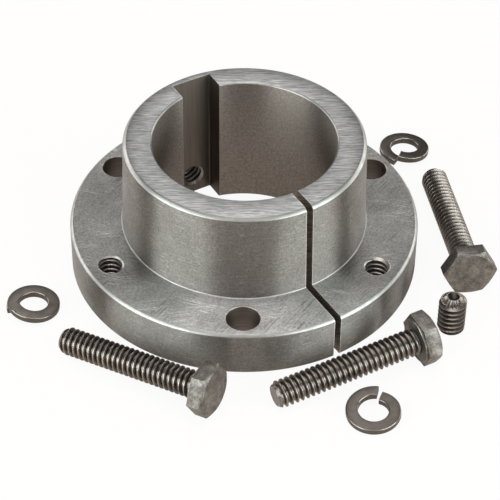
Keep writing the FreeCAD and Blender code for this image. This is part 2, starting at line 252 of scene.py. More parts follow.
def draw_profile(name, points, closed=False):
    """A run of edges in the XZ plane, drawn corner by corner from (radius, height) pairs."""
    only(None)
    first = points[0]
    bpy.ops.mesh.primitive_plane_add(size=MM, location=(first[0], 0, first[1]))
    thing = bpy.context.object
    thing.name = name
    bpy.ops.object.transform_apply(location=True, rotation=True, scale=True)
    edit(thing)
    bpy.ops.mesh.merge(type="CENTER")
    for before, after in zip(points, points[1:]):
        step = (after[0] - before[0], 0, after[1] - before[1])
        bpy.ops.mesh.extrude_vertices_move(TRANSFORM_OT_translate={"value": step})
    if closed:
        ends = (Vector((points[0][0], 0, points[0][1])), Vector((points[-1][0], 0, points[-1][1])))
        choose(thing, "VERT", lambda v: min((v.co - e).length for e in ends) < FINE)
        bpy.ops.mesh.edge_face_add()
    done()
    return thing


def close_up(thing):
    """Merge doubled points and turn every face outwards."""
    edit(thing)
    bpy.ops.mesh.remove_doubles(threshold=FINE / 10)
    bpy.ops.mesh.select_all(action="SELECT")
    bpy.ops.mesh.normals_make_consistent(inside=False)
    done()


def lathe(name, points, steps, closed=False):
    """Spin a profile once round the Z axis."""
    thing = draw_profile(name, points, closed)
    edit(thing)
    bpy.ops.mesh.spin(steps=steps, angle=2 * math.pi, center=(0, 0, 0), axis=(0, 0, 1))
    done()
    close_up(thing)
    return thing


def on_ring(edge, radius, height):
    """True for an edge of the ring with this radius and height."""
    near = [abs(math.hypot(v.co.x, v.co.y) - radius) + abs(v.co.z - height) < FINE for v in edge.verts]
    return all(near)


def bevel_rings(thing, rings, width, segments=1):
    """Bevel whole rings of edges, each given as radius and height."""
    edit(thing)
    found = choose(thing, "EDGE", lambda edge: any(on_ring(edge, r, z) for r, z in rings))
    if not found:
        raise RuntimeError(thing.name + ": no ring to bevel")
    bpy.ops.mesh.bevel(offset=width, offset_type="OFFSET", segments=segments, affect="EDGES")
    done()


def soften(thing, sharpness, width):
    """Round every edge that is sharper than an angle in degrees."""
    edit(thing, "EDGE")
    bpy.ops.mesh.select_all(action="DESELECT")
    bpy.ops.mesh.edges_select_sharp(sharpness=math.radians(sharpness))
    bpy.ops.mesh.bevel(offset=width, offset_type="OFFSET", segments=2, affect="EDGES")
    done()


def trim(thing, height, keep_below):
    """Cut a piece off flat at a height and fill the cut."""
    edit(thing)
    bpy.ops.mesh.bisect(
        plane_co=(0, 0, height), plane_no=(0, 0, 1), use_fill=True,
        clear_outer=keep_below, clear_inner=not keep_below, threshold=FINE / 100,
    )
    done()


def carve(thing, tool, operation="DIFFERENCE"):
    """Cut, join or keep what is shared with a tool, which is used up."""
    modifier = thing.modifiers.new("carve", "BOOLEAN")
    modifier.object = tool
    modifier.operation = operation
    modifier.solver = "EXACT"
    modifier.material_mode = "TRANSFER"
    apply_all(thing)
    bpy.data.objects.remove(tool)


def another(source, name, place):
    """A copy with its own mesh, put in its place."""
    only(source)
    bpy.ops.object.duplicate(linked=False)
    copy = bpy.context.object
    copy.name = name
    settle(copy, place)
    return copy


def settle(thing, place):
    """Move a piece to its place and keep the place in its mesh."""
    only(thing)
    thing.matrix_world = place @ thing.matrix_world
    bpy.ops.object.transform_apply(location=True, rotation=True, scale=True)


def turn_z(radians):
    return Matrix.Rotation(radians, 4, "Z")


def threaded_rod(name, crest, root, low, high, pitch):
    """A rod with a sixty degree right-hand thread from one height to another."""
    flank = (crest - root) * math.tan(math.radians(30))
    crest_flat = (pitch - 2 * flank) / 3
    root_flat = pitch - 2 * flank - crest_flat
    start = low - RUN_IN * pitch
    profile = [
        (root, start),
        (root, start + root_flat),
        (crest, start + root_flat + flank),
        (crest, start + root_flat + flank + crest_flat),
        (root, start + pitch),
    ]
    rod = draw_profile(name, profile)
    screw = rod.modifiers.new("thread", "SCREW")
    screw.axis = "Z"
    screw.angle = 2 * math.pi
    screw.screw_offset = pitch
    screw.steps = THREAD_STEPS
    screw.render_steps = THREAD_STEPS
    screw.iterations = math.ceil((high - low) / pitch + RUN_IN) + 1
    screw.use_merge_vertices = True
    screw.merge_threshold = FINE / 10
    apply_all(rod)
    trim(rod, high, True)
    trim(rod, low, False)
    close_up(rod)
    return rod


# Materials
def add(tree, kind, settings=None, links=None):
    """One node, with its properties and sockets set and its inputs linked."""
    made = tree.nodes.new(kind)
    for name, value in (settings or {}).items():
        if isinstance(name, str) and name in made.bl_rna.properties:
            setattr(made, name, value)
        else:
            made.inputs[name].default_value = value
    for name, source in (links or {}).items():
        tree.links.new(source, made.inputs[name])
    return made


def new_material(name):
    material = bpy.data.materials.new(name)
    material.use_nodes = True
    tree = material.node_tree
    tree.nodes.clear()
    output = add(tree, "ShaderNodeOutputMaterial")
    place = add(tree, "ShaderNodeTexCoord").outputs["Object"]
    return material, tree, output, place


def noise(tree, place, scale, detail, roughness=0.6):
    return add(
        tree, "ShaderNodeTexNoise", {"Scale": scale, "Detail": detail, "Roughness": roughness},
        {"Vector": place},
    ).outputs["Fac"]


def drawn_out(tree, place, turn, sizes, detail=3.0):
    """Noise whose spots have these sizes in millimetres along X, Y and Z of a turned frame."""
    turned = add(tree, "ShaderNodeMapping", {"Rotation": turn}, {"Vector": place})
    scale = [1 / (size * MM) for size in sizes]
    stretched = add(tree, "ShaderNodeMapping", {"Scale": scale}, {"Vector": turned.outputs[0]})
    return noise(tree, stretched.outputs[0], 1.0, detail)


def streaks(tree, place, degrees, run, width, detail=3.0):
    """Noise drawn out along a direction in the XY plane: run and width are millimetres."""
    return drawn_out(tree, place, (0, 0, -math.radians(degrees)), (run, width, width), detail)


def grain(tree, place, size):
    """Even noise with spots of about a size in millimetres: real specks are finer and are drawn coarser."""
    return noise(tree, place, 1 / (size * MM), 4.0)


def rings(tree, place, pitch, along="Z"):
    """Tool marks at a pitch in millimetres, along the axis or out from it.

    Real feed marks are about 0.1 mm apart. They are drawn at 0.3 mm and more, so that they show.
    """
    split = add(tree, "ShaderNodeSeparateXYZ", None, {0: place})
    if along == "Z":
        distance = split.outputs["Z"]
    else:
        flat = add(tree, "ShaderNodeCombineXYZ", None, {"X": split.outputs["X"], "Y": split.outputs["Y"]})
        distance = add(
            tree, "ShaderNodeVectorMath", {"operation": "LENGTH"}, {0: flat.outputs[0]}).outputs["Value"]
    line = add(tree, "ShaderNodeCombineXYZ", None, {"X": times(tree, distance, 1 / (pitch * MM))})
    return noise(tree, line.outputs[0], 1.0, 2.0, 0.7)


def spread(tree, value, low, high, floor=0.0, top=1.0):
    """A value taken from one range to another, held inside it."""
    return add(
        tree, "ShaderNodeMapRange",
        {"From Min": low, "From Max": high, "To Min": floor, "To Max": top}, {"Value": value},
    ).outputs["Result"]


def vary(tree, value, least, most):
    """Noise, which keeps mostly between 0.3 and 0.7, taken to a range of its own."""
    return spread(tree, value, 0.3, 0.7, least, most)


def times(tree, a, b):
    """The product of a node's output and another output or a number."""
    if isinstance(b, float):
        return add(tree, "ShaderNodeMath", {"operation": "MULTIPLY", 1: b}, {0: a}).outputs[0]
    return add(tree, "ShaderNodeMath", {"operation": "MULTIPLY"}, {0: a, 1: b}).outputs[0]


def shaded(tree, base, factor):
    """A colour multiplied by a grey value."""
    rgb = add(tree, "ShaderNodeRGB")
    rgb.outputs[0].default_value = (*base, 1)
    return add(
        tree, "ShaderNodeVectorMath", {"operation": "SCALE"}, {0: rgb.outputs[0], "Scale": factor},
    ).outputs["Vector"]


def steel(tree, output, base, shade, roughness, bump=None, bump_height=0.0, anisotropic=0.0, tangent=None):
    """The metal shader: shade multiplies the base colour, and a reflection runs out along the tangent."""
    settings = {"Metallic": 1.0, "Anisotropic": anisotropic}
    links = {"Base Color": shaded(tree, base, shade), "Roughness": roughness}
    if tangent:
        links["Tangent"] = tangent
    if bump:
        relief = add(
            tree, "ShaderNodeBump", {"Strength": 1.0, "Distance": bump_height * MM}, {"Height": bump})
        links["Normal"] = relief.outputs[0]
    shader = add(tree, "ShaderNodeBsdfPrincipled", settings, links)
    tree.links.new(shader.outputs[0], output.inputs["Surface"])


def wear_and_edge_highlight(tree, radius, gain):
    """One on open metal, rising to a gain on the edges: partly wear that handling polishes, partly a painted
    highlight. Radius is millimetres.
    """
    rounded = add(tree, "ShaderNodeBevel", {"samples": 4, "Radius": radius * MM})
    real = add(tree, "ShaderNodeNewGeometry")
    likeness = add(
        tree, "ShaderNodeVectorMath", {"operation": "DOT_PRODUCT"},
        {0: rounded.outputs[0], 1: real.outputs["Normal"]}).outputs["Value"]
    return spread(tree, likeness, 0.99, 0.85, 1.0, gain)


def groove_shade(tree, reach, darkest):
    """One on open metal, and a darkest value deep in a groove: painted shade from ambient occlusion. Reach is
    millimetres.
    """
    open_sky = add(
        tree, "ShaderNodeAmbientOcclusion", {"samples": 8, "only_local": True, "Distance": reach * MM})
    return spread(tree, open_sky.outputs["AO"], 0.4, 0.92, darkest, 1.0)


def product(tree, *values):
    """All these values multiplied together."""
    total = values[0]
    for value in values[1:]:
        total = times(tree, total, value)
    return total


def lapped_end_steel(finish):
    """Steel lapped by hand on a flat plate: straight parallel scratches that all run one way.

    They are drawn 0.13 and 0.2 mm wide, far wider than real ones, so that they show.
    """
    material, tree, output, place = new_material("lapped_end_steel")
    long_marks = streaks(tree, place, -31, 4.0, 0.2)
    fine_marks = streaks(tree, place, -27, 2.0, 0.13)
    clouds = grain(tree, place, 5.0)
    shade = product(
        tree, spread(tree, long_marks, 0.34, 0.66, 0.62, 1.34),
        spread(tree, fine_marks, 0.34, 0.66, 0.62, 1.34),
        vary(tree, clouds, 0.9, 1.1), wear_and_edge_highlight(tree, 0.6, 1.6))
    roughness = vary(tree, long_marks, 0.44, 0.32)
    lean = math.radians(60)
    across = add(tree, "ShaderNodeCombineXYZ", {"X": math.cos(lean), "Y": math.sin(lean)}).outputs[0]
    steel(tree, output, finish.lapped, shade, roughness, fine_marks, 0.012, 0.6, across)
    return material


def scuffs(tree, place, degrees, run, width, gain):
    """One on open metal, and a gain along the few scratches that run one way in loose patches."""
    lines = streaks(tree, place, degrees, run, width, 1.0)
    patches = streaks(tree, place, degrees + 20, 11.0, 7.0, 1.0)
    deep = times(tree, spread(tree, lines, 0.56, 0.68), spread(tree, patches, 0.48, 0.6))
    return spread(tree, deep, 0.0, 1.0, 1.0, gain)


def faced_flange_steel(finish):
    """Steel faced on the lathe and scuffed in the bin: mottled, with scratches that cross each other."""
    material, tree, output, place = new_material("faced_flange_steel")
    clouds = grain(tree, place, 5.0)
    specks = grain(tree, place, 0.5)
    marks = rings(tree, place, 0.3, "OUT")
    shade = product(
        tree, vary(tree, clouds, 0.84, 1.14), spread(tree, specks, 0.36, 0.64, 0.8, 1.2),
        spread(tree, marks, 0.36, 0.64, 0.9, 1.1), scuffs(tree, place, -48, 8.0, 0.26, 1.6),
        scuffs(tree, place, 26, 10.0, 0.3, 0.55), scuffs(tree, place, -20, 7.0, 0.24, 1.5),
        wear_and_edge_highlight(tree, 0.35, 2.0))
    roughness = vary(tree, specks, 0.47, 0.38)
    steel(
        tree, output, finish.faced, shade, roughness, specks, 0.01, 0.95, outwards(tree, place))
    return material


def upright(tree):
    """The direction across the tool marks of a turned wall."""
    return add(tree, "ShaderNodeCombineXYZ", {"Z": 1.0}).outputs[0]


def outwards(tree, place):
    """The direction across the tool marks of a faced disc."""
    return add(
        tree, "ShaderNodeVectorMath", {"operation": "MULTIPLY", 1: (1, 1, 0)}, {0: place}).outputs["Vector"]


def turned_side_steel(finish):
    """Steel turned with a fine feed: the rings draw each reflection out into an upright band."""
    material, tree, output, place = new_material("turned_side_steel")
    marks = rings(tree, place, 0.3)
    specks = grain(tree, place, 0.42)
    clouds = grain(tree, place, 6.0)
    # Small spots up to half again as bright: painted glints of dents
    dent_glints = drawn_out(tree, place, (0, 0, 0), (2.5, 2.5, 0.25), 1.0)
    shade = product(
        tree, spread(tree, specks, 0.32, 0.68, 0.78, 1.2), vary(tree, clouds, 0.88, 1.1),
        spread(tree, marks, 0.36, 0.64, 0.94, 1.06), spread(tree, dent_glints, 0.62, 0.72, 1.0, 1.45),
        wear_and_edge_highlight(tree, 0.4, 2.6))
    roughness = vary(tree, specks, 0.56, 0.46)
    steel(tree, output, finish.turned, shade, roughness, marks, 0.004, 1.0, upright(tree))
    return material


def chamfer_steel(finish):
    """A chamfer turned with a sharp tool and rubbed smooth by handling: coloured lighter than the turned
    sides as a painted highlight, so that it is the brightest line on the piece.
    """
    material, tree, output, place = new_material("chamfer_steel")
    clouds = grain(tree, place, 2.0)
    shade = product(tree, vary(tree, clouds, 0.85, 1.1), wear_and_edge_highlight(tree, 0.3, 1.3))
    steel(tree, output, finish.chamfer, shade, vary(tree, clouds, 0.4, 0.3))
    return material


def bored_steel(finish):
    """Steel bored through: satin and evenly dim, with faint rings."""
    material, tree, output, place = new_material("bored_steel")
    marks = rings(tree, place, 0.35)
    specks = grain(tree, place, 0.5)
    shade = product(
        tree, vary(tree, marks, 0.9, 1.08), spread(tree, specks, 0.32, 0.68, 0.76, 1.24),
        wear_and_edge_highlight(tree, 0.25, 1.5))
    roughness = vary(tree, specks, 0.5, 0.42)
    steel(tree, output, finish.bored, shade, roughness, marks, 0.006, 0.8, upright(tree))
    return material


def broached_steel(finish):
    """Steel cut by a broach: upright scores along the keyway."""
    material, tree, output, place = new_material("broached_steel")
    marks = drawn_out(tree, place, (0, 0, 0), (0.6, 0.6, 14.0))
    shade = vary(tree, marks, 0.84, 1.08)
    roughness = vary(tree, marks, 0.5, 0.4)
    steel(tree, output, finish.broached, shade, roughness, marks, 0.012, 0.7, upright(tree))
    return material


def sawn_steel(finish):
    """Steel cut by a slitting saw: dark, with the saw's slanting marks and a bright edge that is partly burr
    and partly a painted highlight.
    """
    material, tree, output, place = new_material("sawn_steel")
    marks = drawn_out(tree, place, (math.radians(35), 0, 0), (1.0, 6.0, 0.35))
    shade = product(tree, spread(tree, marks, 0.35, 0.65, 0.6, 1.3), wear_and_edge_highlight(tree, 0.3, 2.2))
    roughness = vary(tree, marks, 0.55, 0.42)
    steel(tree, output, finish.sawn, shade, roughness, marks, 0.02)
    return material


def drilled_steel(finish):
    """Steel left by a drill: rings up the wall and a bright edge that is partly burr and partly a painted
    highlight.
    """
    material, tree, output, place = new_material("drilled_steel")
    marks = rings(tree, place, 0.5)
    shade = product(tree, vary(tree, marks, 0.7, 1.2), wear_and_edge_highlight(tree, 0.25, 1.8))
    roughness = vary(tree, marks, 0.42, 0.34)
    steel(tree, output, finish.drilled, shade, roughness, marks, 0.01, 0.6, upright(tree))
    return material


def tapped_steel(finish):
    """Steel cut by a tap: a little brighter than the drilled wall, because the flanks are fresh; painted
    shade darkens the roots, and the thread edges are brightened partly by wear and partly by a painted
    highlight.
    """
    material, tree, output, place = new_material("tapped_steel")
    specks = grain(tree, place, 0.4)
    shade = product(
        tree, vary(tree, specks, 0.88, 1.12), groove_shade(tree, 1.0, 0.3), wear_and_edge_highlight(tree, 0.16, 2.4))
    steel(tree, output, finish.tapped, shade, vary(tree, specks, 0.38, 0.3))
    return material


def rolled_thread_steel(finish):
    """Carbon steel with a dark heat-treated skin: pale on the rolled crests, partly worn and partly a painted
    highlight, and darkened in the roots by painted shade.
    """
    material, tree, output, place = new_material("rolled_thread_steel")
    clouds = grain(tree, place, 1.8)
    specks = grain(tree, place, 0.4)
    shade = product(
        tree, vary(tree, clouds, 0.76, 1.2), vary(tree, specks, 0.82, 1.18),
        groove_shade(tree, 1.0, 0.3), wear_and_edge_highlight(tree, 0.12, 3.8))
    steel(tree, output, finish.thread, shade, vary(tree, specks, 0.38, 0.27))
    return material


def forged_head_steel(finish):
    """The same steel upset cold and trimmed to a hexagon: mottled by its scale, darkened in its hollows by
    painted shade, and bright on the corners, partly rubbed and partly a painted highlight.
    """
    material, tree, output, place = new_material("forged_head_steel")
    clouds = grain(tree, place, 1.8)
    specks = grain(tree, place, 0.45)
    shade = product(
        tree, spread(tree, clouds, 0.34, 0.66, 0.68, 1.32), vary(tree, specks, 0.8, 1.18),
        groove_shade(tree, 1.2, 0.75), wear_and_edge_highlight(tree, 0.22, 2.8))
    steel(tree, output, finish.head, shade, vary(tree, clouds, 0.56, 0.42), specks, 0.01)
    return material


def spring_wire_steel(finish):
    """Hardened spring steel wire, coiled and cut: smooth and brown-grey; its corners take a painted
    highlight.
    """
    material, tree, output, place = new_material("spring_wire_steel")
    clouds = grain(tree, place, 2.0)
    specks = grain(tree, place, 0.35)
    shade = product(tree, vary(tree, clouds, 0.9, 1.1), vary(tree, specks, 0.96, 1.04))
    steel(tree, output, finish.washer, shade, vary(tree, clouds, 0.46, 0.36))
    return material


def wire_corner_highlight_steel(finish):
    """The same wire on its rounded corners, coloured two to three times as bright as a painted highlight:
    thin light lines round the washer.
    """
    material, tree, output, place = new_material("wire_corner_highlight_steel")
    clouds = grain(tree, place, 2.0)
    shade = vary(tree, clouds, 2.0, 3.2)
    steel(tree, output, finish.washer, shade, vary(tree, clouds, 0.32, 0.22))
    return material


def alloy_set_screw_steel(finish):
    """Alloy steel with an oiled dark skin, brighter on its cut thread edges, partly worn and partly a painted
    highlight, and darkened in the roots by painted shade.
    """
    material, tree, output, place = new_material("alloy_set_screw_steel")
    specks = grain(tree, place, 0.35)
    shade = product(
        tree, vary(tree, specks, 0.85, 1.15), groove_shade(tree, 1.2, 0.42), wear_and_edge_highlight(tree, 0.12, 1.8))
    steel(tree, output, finish.set_screw, shade, vary(tree, specks, 0.36, 0.28))
    return material


def cup_shade_steel(finish):
    """The same alloy steel in the drilled cup, painted nearly black as the shade inside the hollow."""
    material, tree, output, place = new_material("cup_shade_steel")
    marks = rings(tree, place, 0.3, "OUT")
    shade = vary(tree, marks, 0.16, 0.26)
    steel(tree, output, finish.set_screw, shade, vary(tree, marks, 0.4, 0.3))
    return material


def dress(thing, materials, choice=None):
    """Give a piece its materials; choice names the slot of each face from its centre and normal."""
    thing.data.materials.clear()
    for material in materials:
        thing.data.materials.append(material)
    if choice:
        for face in thing.data.polygons:
            face.material_index = choice(face)


def hand_in(thing, node):
    """Smooth the shading, stand the piece in for its solid and hang it on the only body."""
    only(thing)
    bpy.ops.object.shade_smooth_by_angle(angle=SMOOTH_BELOW)
    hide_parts(node)
    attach(thing, "root")


# The bushing
def turned_blank(sizes):
    """Flange, tapered barrel and bore from one profile, with the lathe's chamfers."""
    rim = sizes.flange_diameter / 2
    seat = sizes.flange_thickness
    top = sizes.overall_length
    root = sizes.barrel_diameter / 2
    nose = root - sizes.barrel_taper * (top - seat) / 2
    bore = sizes.bore_diameter / 2
    profile = [(bore, 0), (rim, 0), (rim, seat), (root, seat), (nose, top), (bore, top)]
    blank = lathe("split_bushing", profile, RING_STEPS, True)
    bevel_rings(blank, [(rim, seat)], sizes.flange_chamfer)
    bevel_rings(blank, [(rim, 0)], sizes.flange_edge_break)
    bevel_rings(blank, [(nose, top)], sizes.barrel_chamfer)
    bevel_rings(blank, [(root, seat)], sizes.barrel_root, 4)
    bevel_rings(blank, [(bore, 0), (bore, top)], sizes.bore_edge_break)
    soften(blank, 25, sizes.edge_round)
    return blank


LAPPED, FACED, TURNED, BORED, CHAMFER = range(5)

# How much of a face's normal points along the bore, at least: on a flat end, and on a chamfer
ON_END = 0.95
ON_CHAMFER = 0.3


def bushing_face(face, sizes):
    """Which finish a face of the turned blank has."""
    slope = abs(face.normal.z)
    if slope > ON_END:
        return LAPPED if face.center.z > sizes.overall_length - FINE * 5 else FACED
    radius = math.hypot(face.center.x, face.center.y)
    if slope > ON_CHAMFER:
        return CHAMFER
    return BORED if radius < sizes.bore_diameter / 2 + FINE else TURNED


def clearance_drill(sizes, finish):
    """A drill for the clearance holes that leaves a slight break at both mouths."""
    radius = sizes.clearance_hole / 2
    edge = sizes.edge_round
    over = 1 * MM
    top = sizes.flange_thickness
    profile = [
        (0, -over), (radius + edge + over, -over), (radius, edge), (radius, top - edge),
        (radius + edge + over, top + over), (0, top + over),
    ]
    drill = lathe("clearance_drill", profile, HOLE_STEPS)
    dress(drill, [drilled_steel(finish)])
    return drill


def tap(sizes, pitch, low, high, material):
    """A tap with the hole's full thread."""
    rod = threaded_rod("tap", sizes.tap_major / 2, sizes.tap_drill / 2, low, high, pitch)
    dress(rod, [material])
    return rod


def tap_with_sink(sizes, pitch, material):
    """A tap for the flange, with the countersink of the hole's upper mouth."""
    over = 1 * MM
    top = sizes.flange_thickness
    rod = tap(sizes, pitch, -over, top + over / 2, material)
    mouth = sizes.tap_sink / 2
    sink = lathe("sink", [(0, top - mouth), (mouth + over, top + over), (0, top + over)], HOLE_STEPS)
    dress(sink, [material])
    carve(rod, sink, "UNION")
    return rod


def keyway_cutter(sizes, material):
    """A square bar with rounded corners where the keyway's floor meets its sides."""
    bore = sizes.bore_diameter / 2
    half = sizes.key_width / 2
    mouth = math.sqrt(bore * bore - half * half)
    floor = mouth + sizes.key_depth
    near = bore / 2
    over = 2 * MM
    tall = sizes.overall_length + 2 * over
    only(None)
    bpy.ops.mesh.primitive_cube_add(
        size=1, location=(0, (near + floor) / 2, sizes.overall_length / 2),
        scale=(2 * half, floor - near, tall))
    bar = bpy.context.object
    bar.name = "keyway_cutter"
    bpy.ops.object.transform_apply(location=True, rotation=True, scale=True)
    edit(bar)
    choose(bar, "EDGE", lambda e: all(abs(v.co.y - floor) < FINE for v in e.verts)
           and abs(e.verts[0].co.z - e.verts[1].co.z) > tall / 2)
    bpy.ops.mesh.bevel(offset=sizes.key_corner, offset_type="OFFSET", segments=5, affect="EDGES")
    done()
    dress(bar, [material])
    return bar


def slitting_saw(sizes, material):
    """A thin plate as wide as the saw cut."""
    inner = sizes.bore_diameter / 4
    outer = sizes.flange_diameter / 2 + 2 * MM
    over = 2 * MM
    only(None)
    bpy.ops.mesh.primitive_cube_add(
        size=1, location=((inner + outer) / 2, 0, sizes.overall_length / 2),
        scale=(outer - inner, sizes.slit_width, sizes.overall_length + 2 * over))
    plate = bpy.context.object
    plate.name = "slitting_saw"
    settle(plate, turn_z(sizes.slit_azimuth))
    dress(plate, [material])
    return plate


class BUSHING_OT_turn_bushing(bpy.types.Operator):
    """Turn the bushing, then drill, tap, broach and slit it"""
    bl_idname = "bushing.turn_bushing"
    bl_label = "Turn the bushing"

    def execute(self, context):
        choice = context.scene.bushing_set
        sizes = choice.bushing
        finish = choice.finishes
        pitch = choice.hardware.pitch
        blank = turned_blank(sizes)
        finishes = (lapped_end_steel, faced_flange_steel, turned_side_steel, bored_steel, chamfer_steel)
        dress(blank, [make(finish) for make in finishes], lambda face: bushing_face(face, sizes))
        threads = tapped_steel(finish)
        circle = Matrix.Translation((sizes.hole_circle / 2, 0, 0))
        drill = clearance_drill(sizes, finish)
        flange_tap = tap_with_sink(sizes, pitch, threads)
        for index in range(sizes.hole_count):
            step = 2 * math.pi * index / sizes.hole_count
            spot = turn_z(sizes.clearance_azimuth + step) @ circle
            carve(blank, another(drill, "drill_in_place", spot))
            spot = turn_z(sizes.tapped_azimuth + step) @ circle
            carve(blank, another(flange_tap, "tap_in_place", spot))
        bpy.data.objects.remove(drill)
        bpy.data.objects.remove(flange_tap)
        carve(blank, keyway_cutter(sizes, broached_steel(finish)))
        carve(blank, slitting_saw(sizes, sawn_steel(finish)))
        radial = tap(sizes, pitch, sizes.bore_diameter / 4, sizes.flange_diameter / 2 + MM, threads)
        height = Matrix.Translation((0, 0, sizes.set_hole_height))
        settle(radial, height @ Matrix.Rotation(-math.pi / 2, 4, "X"))
        carve(blank, radial)
        hand_in(blank, "bushing")
        return {"FINISHED"}


# The cap screws
HEXAGON = math.cos(math.radians(30))


def hex_head(sizes):
    """A hexagon with its top corners turned off, stopping short where the bearing face will go."""
    half = sizes.head_flats / 2
    low = -sizes.head_height
    high = -sizes.washer_face_height
    only(None)
    bpy.ops.mesh.primitive_cylinder_add(
        vertices=6, radius=half / HEXAGON, depth=high - low, location=(0, 0, (low + high) / 2))
    head = bpy.context.object
    head.name = "hex_head"
    bpy.ops.object.transform_apply(location=True, rotation=True, scale=True)
    face = sizes.head_face / 2
    wide = half * 1.5
    drop = (wide - face) * math.tan(sizes.head_chamfer)
    profile = [(0, low), (face, low), (wide, low + drop), (wide, high + MM), (0, high + MM)]
    steps = 96
    turning = lathe("head_turning", profile, steps)
    settle(turning, turn_z(math.pi / steps))
    carve(head, turning, "INTERSECT")
    soften(head, 40, 0.1 * MM)
    return head


def bearing_face(sizes):
    """The round bearing face and the fillet that runs into the shank."""
    rim = sizes.washer_face / 2
    clear_of_root = 0.12 * MM
    neck = sizes.root_diameter / 2 + clear_of_root
    deep = sizes.head_height / 2
    corner = 0.08 * MM
    fillet = 0.45 * MM
    profile = [
        (0, -deep), (rim, -deep), (rim, -corner), (rim - corner, 0), (neck + fillet, 0),
        (neck + fillet * 0.3, fillet * 0.3), (neck, fillet), (0, fillet),
    ]
    return lathe("bearing_face", profile, HOLE_STEPS)


def cap_screw(sizes, thread, head):
    """One hex cap screw along Z: its bearing face is at the origin and its point above."""
    crest = sizes.thread_diameter / 2
    root = sizes.root_diameter / 2
    end = sizes.screw_length
    inside_fillet = 0.1 * MM
    rod = threaded_rod("cap_screw", crest, root, inside_fillet, end + MM, sizes.pitch)
    tip = crest - sizes.tip_chamfer
    wide = crest + 0.5 * MM
    cone = 1.9 * MM
    profile = [(0, -MM), (wide, -MM), (wide, end - cone), (tip, end), (0, end)]
    carve(rod, lathe("point_turning", profile, HOLE_STEPS), "INTERSECT")
    dress(rod, [thread])
    collar = bearing_face(sizes)
    carve(collar, hex_head(sizes), "UNION")
    dress(collar, [head])
    carve(rod, collar, "UNION")
    return rod


def beside_flange(scene_set, out, azimuth):
    """A spot on the floor, from its distance out from the rim and its azimuth."""
    radius = scene_set.bushing.flange_diameter / 2 + out * MM
    turn = math.radians(azimuth)
    return Vector((radius * math.cos(turn), radius * math.sin(turn), 0))


class BUSHING_OT_make_cap_screws(bpy.types.Operator):
    """Model one hex cap screw and lay three of them on the floor"""
    bl_idname = "bushing.make_cap_screws"
    bl_label = "Make the cap screws"

    def execute(self, context):
        choice = context.scene.bushing_set
        sizes = choice.hardware
        finish = choice.finishes
        model = cap_screw(sizes, rolled_thread_steel(finish), forged_head_steel(finish))
        flat = sizes.head_flats / 2
        span = sizes.screw_length - sizes.tip_chamfer + sizes.washer_face_height
        droop = math.atan2(flat - sizes.thread_diameter / 2, span)
        height = flat * math.cos(droop) - sizes.washer_face_height * math.sin(droop)
        for index, (out, azimuth, yaw) in enumerate(CAP_SCREW_PLACES, start=1):
            spot = beside_flange(choice, out, azimuth) + Vector((0, 0, height))
            place = (
                Matrix.Translation(spot) @ turn_z(math.radians(yaw))
                @ Matrix.Rotation(math.pi / 2 + droop, 4, "Y")
            )
            screw = another(model, "hex_cap_screw_%d" % index, place)
            hand_in(screw, "cap_screw_%d" % index)
        bpy.data.objects.remove(model)
        return {"FINISHED"}


# The lock washers
def lock_washer(sizes, material, corner_material):
    """One turn of keystone wire whose ends are cut square and sprung apart."""
    inner = sizes.lock_inner / 2
    outer = sizes.lock_outer / 2
    slope = (sizes.lock_inner_thickness - sizes.lock_outer_thickness) / 2
    corners = [
        (inner, 0), (outer, slope), (outer, slope + sizes.lock_outer_thickness),
        (inner, sizes.lock_inner_thickness),
    ]
    wire = draw_profile("lock_washer", corners, True)
    edit(wire)
    bpy.ops.mesh.bevel(offset=sizes.lock_round, offset_type="OFFSET", segments=4, affect="VERTICES")
    done()
    coil = wire.modifiers.new("coil", "SCREW")
    coil.axis = "Z"
    coil.angle = -(2 * math.pi - sizes.lock_gap)
    coil.screw_offset = sizes.lock_rise
    coil.steps = 120
    coil.render_steps = 120
    coil.use_merge_vertices = False
    apply_all(wire)
    edit(wire)
    choose(wire, "EDGE", lambda e: e.is_boundary)
    bpy.ops.mesh.fill_holes(sides=0)
    done()
    close_up(wire)
    upright_wall, flat_side = 0.3, 0.9
    # The rounded corners take the material with the painted highlight
    dress(wire, [material, corner_material], lambda face: upright_wall < abs(face.normal.z) < flat_side)
    return wire


class BUSHING_OT_make_lock_washers(bpy.types.Operator):
    """Model one split lock washer and lay three of them on the floor"""
    bl_idname = "bushing.make_lock_washers"
    bl_label = "Make the lock washers"

    def execute(self, context):
        choice = context.scene.bushing_set
        sizes = choice.hardware
        finish = choice.finishes
        model = lock_washer(sizes, spring_wire_steel(finish), wire_corner_highlight_steel(finish))
        lean = sizes.lock_tilt_azimuth
        tilt = Matrix.Rotation(sizes.lock_tilt, 4, Vector((-math.sin(lean), math.cos(lean), 0)))
        for index, (out, azimuth, split) in enumerate(LOCK_WASHER_PLACES, start=1):
            turn = turn_z(math.radians(split) - sizes.lock_gap / 2)
            place = Matrix.Translation(beside_flange(choice, out, azimuth)) @ turn @ tilt
            washer = another(model, "split_lock_washer_%d" % index, place)
            lowest = min(v.co.z for v in washer.data.vertices)
            settle(washer, Matrix.Translation((0, 0, -lowest)))
            hand_in(washer, "lock_washer_%d" % index)
        bpy.data.objects.remove(model)
        return {"FINISHED"}


